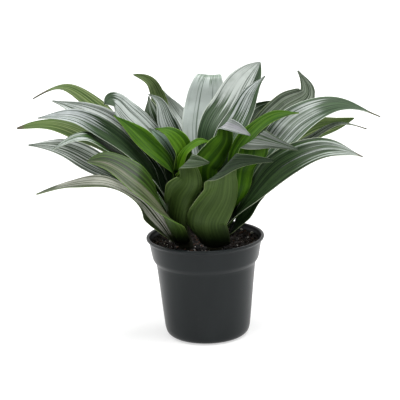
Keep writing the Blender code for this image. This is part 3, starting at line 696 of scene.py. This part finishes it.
# Leaves of each cane from the lowest up: height on the cane, width, and the middle line's points
LEFT = [
    # low leaf, bent out level over the rim
    leaf(2.5, 28, [(-46, -16, 123), (-68, -42, 156), (-97, -53, 174), (-131, -50, 173), (-165, -47, 164)],
         rise=40, roll=(-5, -79, -15, 0), cup=41, base=0.5, blunt=0.5),
    arched(4, 113, 150, 36, (44, 21, 17, -30), cup=59, base=0.3),
    # broad front leaf with a hooked tip
    leaf(4.5, 44, [(-44, -52, 151), (-66, -71, 182), (-94, -81, 203), (-110, -92, 206)],
         rise=49, roll=(1, -14, -50, -50), cup=20, base=0.49, blunt=0.3),
    # stands up in front, with its tip folded over to the right
    leaf(7, 35, [(-29, -28, 127), (-24, -38, 153), (-14, -47, 173), (-16, -43, 190), (-21, -39, 216)],
         rise=60, roll=(-20, -21, 0), cup=85, base=0.5, face=(-95, -85),
         fold=(0.77, 37, (0.99, 0.51, 0.4))),
    arched(8.5, 111, 160, 34, (51, 58, 27, 15), cup=24, base=0.32),
    arched(14.5, 103, 170, 36, (56, 52, 43, -5), cup=43, base=0.3),
    leaf(19.5, 36, [(-70, -2, 157), (-108, -18, 186), (-141, -27, 206), (-172, -30, 210)],
         rise=54, roll=(5, -27, -45), cup=28),
    leaf(23.5, 32, [(-75, 6, 177), (-120, 21, 204), (-153, 24, 217), (-189, 25, 216)],
         rise=46, roll=(-4, -10, -15), cup=59, base=0.32, blunt=1),
    # drooping tip in front of its neighbours
    leaf(26.5, 24, [(-62, -24, 178), (-90, -30, 203), (-118, -46, 220), (-145, -57, 211)],
         rise=46, roll=(-2, -22, -20), base=0.41, blunt=0.3),
    leaf(30.5, 30, [(-62, -24, 184), (-99, -28, 220), (-124, -27, 235), (-162, -20, 235)],
         rise=52, roll=(0, -36, -45), cup=116, base=0.32),
    leaf(34, 25, [(-66, 33, 175), (-112, 59, 231), (-143, 67, 249), (-175, 63, 239)],
         rise=68, roll=(-2, -10, -10), cup=37, base=0.33, blunt=0.8),
    leaf(38.5, 34, [(-54, 1, 177), (-91, 6, 216), (-120, 14, 233), (-151, 22, 244)],
         rise=45, roll=(4, -47, -45), cup=79, base=0.32),
    leaf(43.5, 30, [(-40, 31, 200), (-51, 32, 226), (-54, 51, 240)],
         rise=62, roll=(0, -59, -60), cup=36, base=0.33),
    # blunt tip
    leaf(48, 32, [(-36, 9, 184), (-53, 11, 207), (-73, 7, 229), (-89, -4, 247), (-96, -14, 246)],
         rise=50, roll=(-4, -49, -50), cup=20, base=0.41, blunt=1),
    leaf(52, 24, [(-32, 2, 186), (-43, 3, 206), (-53, 6, 216)],
         rise=51, roll=(-4, -46, -45), cup=58, base=0.37),
    leaf(53, 14, [(-23, -20, 183), (-15, -22, 199), (-3, -22, 207), (9, -19, 205)],
         rise=76, roll=(-3, 45, 45), cup=22, base=0.33, young=True),
    leaf(53, 22, [(-23, -5, 177), (-20, -7, 197), (-32, -5, 213), (-47, -2, 217)],
         rise=59, roll=(0, -43, -45), cup=21, base=0.33, young=True),
    leaf(55, 23, [(-32, -7, 175), (-53, -18, 203), (-70, -20, 221), (-87, -18, 235)],
         rise=58, roll=(-1, -51, -50), cup=38, base=0.32, young=True),
]
RIGHT = [
    # broad blade that stands up in front, with its tip folded over to the right
    leaf(2.5, 52, [(1, -43, 129), (15, -45, 156), (19, -54, 181), (24, -45, 202), (24, -35, 234)],
         rise=66, roll=(-18, -4, 0), cup=42, base=0.74, face=(-92, -80), clasp=110,
         fold=(0.64, 56, (0.76, 0.51, 0.25))),
    leaf(6, 22, [(31, -26, 118), (45, -27, 138), (73, -24, 170)],
         rise=62, roll=(1, 35, 30), cup=51, base=0.39),
    leaf(11, 14, [(73, 29, 167), (111, 17, 198), (139, 9, 214), (166, 4, 209)],
         rise=64, roll=(3, 36, -5), cup=51, base=0.42),
    leaf(12.5, 31, [(46, -36, 150), (77, -37, 183), (114, -34, 198), (161, -3, 182)],
         rise=62, roll=(0, 54, 2), cup=43, blunt=0.4),
    arched(23, 22, 98, 32, (43, 47, 25, -16), cup=25, base=0.38),
    # shows its underside
    leaf(27.5, 32, [(81, 48, 177), (120, 61, 198), (143, 63, 203), (159, 61, 209)],
         rise=62, roll=(2, -73, -80), cup=48, base=0.32, blunt=0.6),
    # young leaf, with its tip folded over to the right
    leaf(33.5, 31, [(36, -38, 164), (39, -33, 180), (49, -38, 196), (50, -31, 220), (50, -25, 256)],
         rise=42, roll=(4, -4, 0), cup=46, base=0.42, face=(-80, -80),
         fold=(0.65, 35, (0.75, 1, 0.46)), young=True),
    arched(34.5, 56, 150, 34, (53, 45, 36, -5), cup=35, base=0.32),
    # longest leaf, arching out to the right
    leaf(41.5, 36, [(70, -14, 196), (99, 7, 220), (135, 19, 231), (181, 14, 219)],
         rise=42, roll=(0, 44, -5), cup=46, base=0.32, blunt=0.2),
    # heart leaf, with its tip folded over
    leaf(47, 31, [(3, -26, 183), (13, -23, 195), (22, -21, 209), (21, -17, 226), (13, -16, 251)],
         rise=43, roll=(-13, 5, 0), cup=81, base=0.59, face=(-88, -85),
         fold=(0.73, 32, (0.98, 0.48, 0.39)), young=True),
    leaf(48, 38, [(61, 27, 201), (87, 46, 224), (110, 57, 239), (101, 59, 261)],
         rise=51, roll=(-3, 67, 65), cup=44, base=0.33),
    leaf(52, 19, [(34, -4, 190), (48, -6, 209), (72, -7, 227), (97, -8, 230)],
         rise=42, roll=(-2, 42, 40), cup=42, young=True),
]
BACK = [
    arched(6, 37, 125, 34, (56, 44, 16, -11)),
    arched(6.5, 155, 140, 34, (48, 49, 8, -10), cup=35, base=0.37),
    arched(10, 95, 190, 38, (54, 47, 13, 0), cup=45, base=0.36),
    arched(15.5, 136, 180, 36, (56, 41, 19, 1), cup=26, base=0.34),
    arched(18, 50, 185, 38, (59, 49, 28, -7), cup=42, base=0.3),
    arched(21.5, 123, 165, 34, (51, 52, 11, 8), cup=50, base=0.32),
    leaf(24.5, 26, [(45, 58, 201), (61, 88, 217), (81, 85, 226)],
         rise=49, roll=(-13, 47, 50), cup=20, base=0.32),
    arched(25.5, 111, 160, 36, (59, 58, 20, -2), cup=32),
    arched(30, 96, 150, 34, (60, 61, 22, 1), cup=52, base=0.32),
    arched(35, 94, 125, 32, (63, 61, 44, 2), cup=31, base=0.3),
    leaf(40, 20, [(-41, 45, 212), (-46, 53, 241), (-52, 51, 255), (-69, 49, 264)],
         rise=55, roll=(-2, -38, -45), cup=82, base=0.35, blunt=0.7),
    leaf(44, 28, [(-13, 58, 199), (-27, 67, 219), (-39, 61, 244)],
         rise=61, roll=(-1, -51, -60), cup=38),
    # broad upright leaf that nods backwards at its tip
    leaf(50, 44, [(0, 46, 197), (4, 59, 228), (10, 69, 256), (15, 89, 252)],
         rise=59, roll=(12, 2, 0), cup=29, face=(90, 90), blunt=0.3),
    leaf(51.5, 30, [(23, 6, 196), (41, 24, 225), (53, 32, 247), (66, 39, 260)],
         rise=51, roll=(1, 16, 15), cup=43, face=(80, 50)),
    leaf(54, 25, [(-23, 15, 190), (-36, 16, 219), (-44, 18, 242), (-53, 15, 249)],
         rise=70, roll=(0, -60, -60), cup=44, base=0.39),
    # tallest leaf
    leaf(55.5, 45, [(15, 16, 204), (34, 38, 233), (47, 50, 254), (62, 60, 271)],
         rise=53, roll=(-1, 10, 10), cup=41, face=(90, 70), blunt=0.8),
]


# Shapes


def placed(name, data):
    """An object in the scene with this mesh, light or camera."""
    made = bpy.data.objects.new(name, data)
    bpy.context.scene.collection.objects.link(made)
    return made


def new_piece(name, points, faces, finishes):
    mesh = bpy.data.meshes.new(name)
    mesh.from_pydata(np.asarray(points).tolist(), [], faces)
    for finish in finishes:
        mesh.materials.append(finish)
    mesh.update()
    mesh.shade_smooth()
    made = placed(name, mesh)
    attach(made, "root")
    return made


def grid_faces(rows, columns, flip=False, start=0):
    faces = []
    for i in range(rows - 1):
        for j in range(columns - 1):
            a = start + i * columns + j
            face = (a, a + 1, a + columns + 1, a + columns)
            faces.append(face[::-1] if flip else face)
    return faces


def pleats(leaf, across, shares, phase):
    """Height of the uneven lengthwise ribs, from 0 in a valley to 1 on a ridge, and where they fade out."""
    count = max(FEWEST_PLEATS, round(leaf["width"] / PLEAT_WIDTH))
    far, wide = shares[:, None], across[None, :]
    wander = PLEAT_WANDER * np.sin(FULL_TURN * (WANDER_TURNS * far + phase)) * (1 - wide**2)
    uneven = PLEAT_UNEVEN * np.sin(FULL_TURN * (UNEVEN_TURNS * wide + phase))
    place = (wide + 1) / 2 + uneven + wander
    ridge = 0.5 - 0.5 * np.cos(FULL_TURN * count * place)
    deep = 1 - PLEAT_SHALLOW + PLEAT_SHALLOW * np.sin(FULL_TURN * (SHALLOW_TURNS * wide + 3 * phase))
    fade = np.interp(shares, PLEAT_FADE_AT, PLEAT_FADE)[:, None]
    return 1 - (1 - ridge**PLEAT_SHARP) * deep, fade


def visual_leaf(name, leaf, upper, under):
    """A closed thin blade: the plan form of the solid leaf, with pleats, and its own finish on each face."""
    rng = np.random.default_rng(zlib.crc32(name.encode()))
    across = np.sin(np.linspace(-1, 1, FINE_ACROSS + 1) * math.pi / 2 * EDGE_CROWD)
    across = across / math.sin(math.pi / 2 * EDGE_CROWD)
    shares = np.linspace(0, 1, FINE_ALONG + 1) ** TIP_CROWD
    middle = leaf_points(leaf, across, shares)
    if not leaf["fold"]:
        line = middle[:, FINE_ACROSS // 2, None]
        middle = line + (middle - line) * np.interp(shares, THREAD_AT, THREAD_WIDTH)[:, None, None]
    over = np.cross(np.gradient(middle, axis=0), np.gradient(middle, axis=1))
    over /= np.linalg.norm(over, axis=2, keepdims=True) + TINY
    ridge, fade = pleats(leaf, across, shares, rng.random())
    middle = middle + over * (PLEAT_HEIGHT * (ridge - 0.5) * fade)[..., None]
    thin = FINE_BLADE / 2 * np.interp(np.abs(across), MARGIN_AT, MARGIN_THICK)[None, :, None]
    if not leaf["fold"]:
        thin = thin * np.interp(shares, THREAD_AT, THREAD_THICK)[:, None, None]
    top, low = middle + over * thin, middle - over * thin
    columns, rows = len(across), len(shares)
    count = columns * rows
    points = np.vstack([top.reshape(-1, 3), low.reshape(-1, 3)]) * MM
    faces = grid_faces(rows, columns, flip=True) + grid_faces(rows, columns, start=count)
    rim = list(range(columns)) + [columns * (i + 1) - 1 for i in range(1, rows)]
    rim += [count - 1 - j for j in range(1, columns)] + [columns * i for i in range(rows - 2, 0, -1)]
    faces += [(a, b, b + count, a + count) for a, b in zip(rim, rim[1:] + rim[:1])]
    made = new_piece(name + "_blade", points, faces, [upper, under])
    mesh = made.data
    kinds = np.zeros(len(faces), int)
    quads = (rows - 1) * (columns - 1)
    kinds[quads : 2 * quads] = 1
    mesh.polygons.foreach_set("material_index", kinds)
    uv = mesh.uv_layers.new(name="Blade")
    vertex = np.empty(len(mesh.loops), int)
    mesh.loops.foreach_get("vertex_index", vertex)
    place = vertex % count
    flat = np.stack([(across[place % columns] + 1) / 2, shares[place // columns]], 1)
    uv.data.foreach_set("uv", flat.ravel())
    ribs = mesh.attributes.new("ridge", "FLOAT", "POINT")
    ribs.data.foreach_set("value", np.tile((ridge * fade).ravel(), 2))
    own = mesh.attributes.new("leaf", "FLOAT", "POINT")
    own.data.foreach_set("value", np.full(len(mesh.vertices), rng.random()))
    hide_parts(name)


def pot_profile():
    """Inside from the middle of the floor to the rim, then down the outside to the middle of the base."""
    return [
        # inside
        (0, FLOOR), (BODY_FOOT_RADIUS - 8, FLOOR), (BODY_FOOT_RADIUS - 2, 9),
        (BODY_TOP_RADIUS - WALL, STEP_HEIGHT - 3.6), (BODY_TOP_RADIUS - 0.5, STEP_HEIGHT),
        (COLLAR_FOOT_RADIUS - WALL, STEP_HEIGHT + 4.6), (COLLAR_TOP_RADIUS - WALL, POT_HEIGHT - 6),
        (RIM_RADIUS - 3.4, POT_HEIGHT - 3), (RIM_RADIUS - 3, POT_HEIGHT),
        # lip
        (RIM_RADIUS - 0.5, POT_HEIGHT), (RIM_RADIUS, POT_HEIGHT - 0.6), (RIM_RADIUS, POT_HEIGHT - 2.4),
        (COLLAR_TOP_RADIUS + 0.5, POT_HEIGHT - 4), (COLLAR_TOP_RADIUS, POT_HEIGHT - 7),
        # collar and step
        (COLLAR_FOOT_RADIUS, STEP_HEIGHT + 5), (COLLAR_FOOT_RADIUS - 0.8, STEP_HEIGHT + 2.9),
        (BODY_TOP_RADIUS + 1.1, STEP_HEIGHT), (BODY_TOP_RADIUS, STEP_HEIGHT - 1.6),
        # body and foot
        (BODY_FOOT_RADIUS, 12), (BODY_FOOT_RADIUS - 0.7, 7), (BODY_FOOT_RADIUS - 2.1, 3),
        (BODY_FOOT_RADIUS - 4.8, 0.6), (BODY_FOOT_RADIUS - 6.3, 0), (0, 0),
    ]


def turned_piece(name, profile, sides, finish):
    """A profile of (radius, height) in millimetres turned about Z, from top to bottom on its outer side."""
    turn = np.linspace(0, FULL_TURN, sides, endpoint=False)
    rings = [(r, z) for r, z in profile if r > 0]
    points = [(r * math.cos(a), r * math.sin(a), z) for r, z in rings for a in turn]
    faces = []
    for i in range(len(rings) - 1):
        for j in range(sides):
            k = (j + 1) % sides
            faces.append((i * sides + j, (i + 1) * sides + j, (i + 1) * sides + k, i * sides + k))
    for radius, height, ring in ((*profile[0], 0), (*profile[-1], len(rings) - 1)):
        if radius == 0:
            points.append((0, 0, height))
            middle = len(points) - 1
            for j in range(sides):
                a, b = ring * sides + j, ring * sides + (j + 1) % sides
                faces.append((middle, a, b) if ring == 0 else (middle, b, a))
    made = new_piece(name, np.array(points) * MM, faces, [finish])
    made.data.set_sharp_from_angle(angle=math.radians(SHARP_EDGE))
    return made


def rounded(profile):
    """Cuts the corners of a half section, so that its edges are soft."""
    for _ in range(CORNER_CUTS):
        out = [profile[0]]
        for a, b in zip(profile, profile[1:]):
            a, b = np.array(a, float), np.array(b, float)
            out += [tuple(a + (b - a) * CORNER_CUT), tuple(a + (b - a) * (1 - CORNER_CUT))]
        profile = out + [profile[-1]]
    return profile


def cut_drains(pot):
    """Cuts the round drain holes through the floor."""
    holes = bmesh.new()
    for i in range(DRAIN_HOLES):
        turn = FULL_TURN * (i + 0.5) / DRAIN_HOLES
        size = dict(segments=DRAIN_SIDES, radius1=DRAIN_RADIUS * MM, radius2=DRAIN_RADIUS * MM)
        made = bmesh.ops.create_cone(holes, cap_ends=True, depth=FLOOR * 4 * MM, **size)
        middle = Vector((DRAIN_CIRCLE * math.cos(turn), DRAIN_CIRCLE * math.sin(turn), FLOOR / 2))
        bmesh.ops.translate(holes, verts=made["verts"], vec=middle * MM)
    mesh = bpy.data.meshes.new("drains")
    holes.to_mesh(mesh)
    holes.free()
    drains = placed("drains", mesh)
    boolean = pot.modifiers.new("Drains", "BOOLEAN")
    boolean.operation = "DIFFERENCE"
    boolean.object = drains
    bpy.context.view_layer.update()
    graph = bpy.context.evaluated_depsgraph_get()
    mesh = bpy.data.meshes.new_from_object(pot.evaluated_get(graph))
    pot.modifiers.clear()
    pot.data = mesh
    bpy.data.objects.remove(drains, do_unlink=True)


def make_pot():
    made = material("pot_plastic")
    place = made.place()
    grain = made.noise("pot_grain", place)
    smear = made.noise("pot_smear", place, stretch=(1, 1, 0.35))
    dust = made.noise("pot_dust", place)
    colour = made.mix(made.ramp(smear, *POT_SMEARS), POT_DARK, POT_LIGHT)
    colour = made.mix(made.times(made.ramp(dust, *POT_DUST_RAMP), POT_DUST_SHARE), colour, POT_DUST)
    rough = made.add(made.times(smear, POT_ROUGH_SPREAD), POT_ROUGH)
    finish = made.surface(colour, rough, grain, POT_GRAIN, Specular_IOR_Level=POT_GLOSS)
    pot = turned_piece("pot_shell", rounded(pot_profile()), POT_SIDES, finish)
    cut_drains(pot)
    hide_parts("pot")


def scatter(name, finish, spread, count, seed, sizes, sink, dent):
    """Many small broken grains as one piece, each a squashed and dented ball partly sunk in the soil."""
    rng = np.random.default_rng(seed)
    ball = bmesh.new()
    bmesh.ops.create_icosphere(ball, subdivisions=1, radius=1)
    base = np.array([v.co[:] for v in ball.verts])
    sides = [[v.index for v in f.verts] for f in ball.faces]
    ball.free()
    points, faces = [], []
    for k in range(count):
        size = sizes[0] + (sizes[1] - sizes[0]) * rng.random() ** 2
        x, y = spread(rng)
        squash = rng.uniform(*SQUASH, 3)
        spin = Matrix.Rotation(rng.uniform(0, FULL_TURN), 3, Vector(rng.normal(size=3)).normalized())
        grain = base * (1 + dent * (rng.random((len(base), 1)) - 0.5)) * squash * size
        grain = grain @ np.array(spin) + np.array((x, y, soil_height(x, y) + size * sink))
        faces += [[i + len(base) * k for i in side] for side in sides]
        points.append(grain)
    made = new_piece(name, np.vstack(points) * MM, faces, [finish])
    made.data.shade_flat()


def soil_height(x, y):
    """Height of the crumbly soil at a place: a little under the solid's top, and over it at the wall."""
    place = Vector((x, y, 0))
    coarse = 0.5 + 0.5 * noise.noise(place / SOIL_CRUMB_SIZE)
    fine, finest = [noise.noise(place / size) for size in SOIL_FINE_SIZES]
    bank = SOIL_BANK * max(0, math.hypot(x, y) / SOIL_BANK_FROM - 1)
    return SOIL_TOP - SOIL_SINK + bank - SOIL_CRUMB * coarse + SOIL_FINE * (fine + SOIL_FINEST * finest)


def make_soil():
    made = material("soil_mix")
    place = made.place()
    clump = made.noise("clump", place)
    fleck = made.noise("fleck", place)
    colour = made.mix(made.ramp(clump, *SOIL_CLUMPS), SOIL_DARK, SOIL_LIGHT)
    colour = made.mix(made.times(made.ramp(fleck, *SOIL_FLECKS), SOIL_FLECK_SHARE), colour, SOIL_FLECK)
    flat = made.vector("MULTIPLY", place, (1, 1, 0))["Vector"]
    # Painted shade: the soil is darker between the feet of the leaves, under the crown
    away = made.vector("DISTANCE", flat, Vector((*SOIL_SHADE_PLACE, 0)) * MM)["Value"]
    out_of_shade = made.ramp(away, SOIL_SHADE_REACH[0] * MM, SOIL_SHADE_REACH[1] * MM)
    colour = made.mix(out_of_shade, SOIL_SHADE, colour)
    height = made.add(clump, made.times(fleck, 0.5))
    finish = made.surface(colour, SOIL_ROUGH, height, SOIL_GRAIN)

    edge = COLLAR_TOP_RADIUS - WALL - CLEARANCE - SOIL_EDGE_GAP
    top = [(edge * i / SOIL_RINGS, SOIL_TOP) for i in range(SOIL_RINGS + 1)]
    side = [(COLLAR_FOOT_RADIUS - WALL - CLEARANCE, STEP_HEIGHT + 4.7)]
    side += [(BODY_TOP_RADIUS - WALL - CLEARANCE, STEP_HEIGHT - 3.6)]
    side += [(BODY_FOOT_RADIUS - 2 - CLEARANCE, 9.2), (BODY_FOOT_RADIUS - 8.3, FLOOR + CLEARANCE)]
    soil = turned_piece("soil_bed", top + side + [(0, FLOOR + CLEARANCE)], SOIL_SIDES, finish)
    for vertex in soil.data.vertices:
        x, y, z = vertex.co / MM
        if z > SOIL_TOP - LEVEL_SLACK:
            vertex.co.z = soil_height(x, y) * MM
    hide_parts("soil")

    def anywhere(rng):
        radius, turn = SCATTER_RADIUS * math.sqrt(rng.random()), FULL_TURN * rng.random()
        return radius * math.cos(turn), radius * math.sin(turn)

    scatter("soil_crumbs", finish, anywhere, **CRUMBS)
    bark = material("soil_bark")
    tone = bark.noise("bark", bark.place())
    finish = bark.surface(bark.mix(tone, BARK_DARK, BARK_LIGHT), BARK_ROUGH, tone, BARK_GRAIN)
    scatter("soil_chips", finish, anywhere, **CHIPS)
    white = material("soil_perlite")
    pores = white.noise("pores", white.place())
    pale = white.mix(white.ramp(pores, *WHITE_RAMP), WHITE_PORES, WHITE_FACE)
    finish = white.surface(pale, WHITE_ROUGH, pores, WHITE_GRAIN)
    scatter("soil_grains", finish, anywhere, **GRAINS)
    places = iter(LARGE_PLACES)
    scatter("soil_large_grains", finish, lambda rng: next(places), **LARGE_GRAINS)


def make_canes():
    """Ringed green-brown canes, coloured far darker than their own tone as painted shade: each ring is the
    scar of an older leaf.
    """
    made = material("cane_bark")
    place = made.place()
    grain = made.noise("cane_grain", place, stretch=(1, 1, 0.3))
    patch = made.noise("cane_patch", place)
    # The cane's colours are painted shade: far darker than its own green-brown
    colour = made.mix(made.ramp(patch, *CANE_PATCHES), CANE_SHADED_DARK, CANE_SHADED_LIGHT)
    finish = made.surface(colour, CANE_ROUGH, grain, CANE_GRAIN, Specular_IOR_Level=CANE_GLOSS)
    for name, cane in CANES.items():
        top = SOIL_TOP + cane["height"]
        heights = np.linspace(top - CANE_CHAMFER, SOIL_TOP, CANE_STEPS)
        share = (heights - SOIL_TOP) / cane["height"]
        groove = CANE_RING_DEPTH * (1 + np.cos(heights * FULL_TURN / CANE_RING_GAP))
        radii = CANE_RADIUS + (CANE_TIP_RADIUS - CANE_RADIUS) * share - groove
        profile = [(0, top), (CANE_TIP_RADIUS - 1, top)] + list(zip(radii, heights))
        profile += [(CANE_RADIUS - 1, SOIL_TOP - CANE_DEPTH), (0, SOIL_TOP - CANE_DEPTH)]
        stem = turned_piece("cane_bark_" + name, profile, CANE_SIDES, finish)
        for vertex in stem.data.vertices:
            lean = (vertex.co.z / MM - SOIL_TOP) / cane["height"]
            for k in (0, 1):
                vertex.co[k] += (cane["foot"][k] + cane["lean"][k] * lean) * MM
        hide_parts("cane_" + name)


# Camera, floor and light


def make_camera():
    """Level with the leaves and a little above them, at the height and tilt of the photograph."""
    rise = math.radians(CAMERA_RISE)
    back = Vector((0, -math.cos(rise), math.sin(rise)))
    data = bpy.data.cameras.new("camera")
    data.sensor_width = SENSOR
    data.lens = SENSOR * CAMERA_DISTANCE / FRAME_WIDTH
    data.clip_end = CAMERA_CLIP * MM
    camera = placed("camera", data)
    camera.location = (Vector(CAMERA_TARGET) + back * CAMERA_DISTANCE) * MM
    aim = (-back).to_track_quat("-Z", "Y").to_matrix()
    camera.rotation_euler = (aim @ Matrix.Rotation(math.radians(-CAMERA_TILT), 3, "Z")).to_euler()
    bpy.context.scene.camera = camera


def window_light(name, place):
    data = bpy.data.lights.new(name, "AREA")
    data.shape = "RECTANGLE"
    data.size, data.size_y = WINDOW_SIZE
    data.energy = WINDOW_POWER
    light = placed(name, data)
    light.location = place
    light.rotation_euler = (Vector(WINDOW_AIM) - Vector(place)).to_track_quat("-Z", "Y").to_euler()


def make_world():
    """White above and behind, dim on the camera's side, as in a studio with its lamps over the table."""
    made = Nodes(bpy.data.worlds.new("studio"), "Background")
    way = made.put("TexCoord").outputs["Generated"]
    height = made.vector("DOT_PRODUCT", way, WORLD_BRIGHT_SIDE)["Value"]
    made.give(made.shader.inputs["Strength"], made.ramp(height, *WORLD_TURN, WORLD_DIM, WORLD_LIGHT))
    made.give(made.shader.inputs["Color"], (1, 1, 1))
    bpy.context.scene.world = made.owner


def make_studio():
    made = material("floor_paper")
    grain = made.noise("floor", made.place())
    finish = made.surface(made.mix(grain, *FLOOR_GREYS), FLOOR_ROUGH, Emission_Strength=FLOOR_GLOW)
    made.give(made.shader.inputs["Emission Color"], made.mix(grain, *FLOOR_GLOW_GREYS))
    mesh = bpy.data.meshes.new("floor")
    corners = [(FLOOR_HALF * x, FLOOR_HALF * y, 0) for x, y in ((-1, -1), (1, -1), (1, 1), (-1, 1))]
    mesh.from_pydata(corners, [], [(0, 1, 2, 3)])
    mesh.materials.append(finish)
    floor = placed("floor", mesh)
    floor.location.z = -FLOOR_DROP
    make_world()
    sun = bpy.data.lights.new("overhead", "SUN")
    sun.energy = SUN_STRENGTH
    sun.angle = math.radians(SUN_WIDTH)
    lamp = placed("overhead", sun)
    lamp.rotation_euler = (-Vector(SUN_FROM)).to_track_quat("-Z", "Y").to_euler()
    for name, place in WINDOWS.items():
        window_light(name, place)
    bpy.context.scene.view_settings.view_transform = "Standard"


make_camera()
make_studio()
make_pot()
make_soil()
make_canes()
skins = {name: leaf_finish("leaf_" + name, **finish) for name, finish in FINISHES.items()}
for name, row in all_leaves().items():
    upper, under, own = LOOKS.get(name, YOUNG_LOOK if row["young"] else PLAIN_LOOK)
    top = leaf_finish(name + "_top", **{**FINISHES[upper], **own}) if own else skins[upper]
    visual_leaf(name, row, top, skins[under])
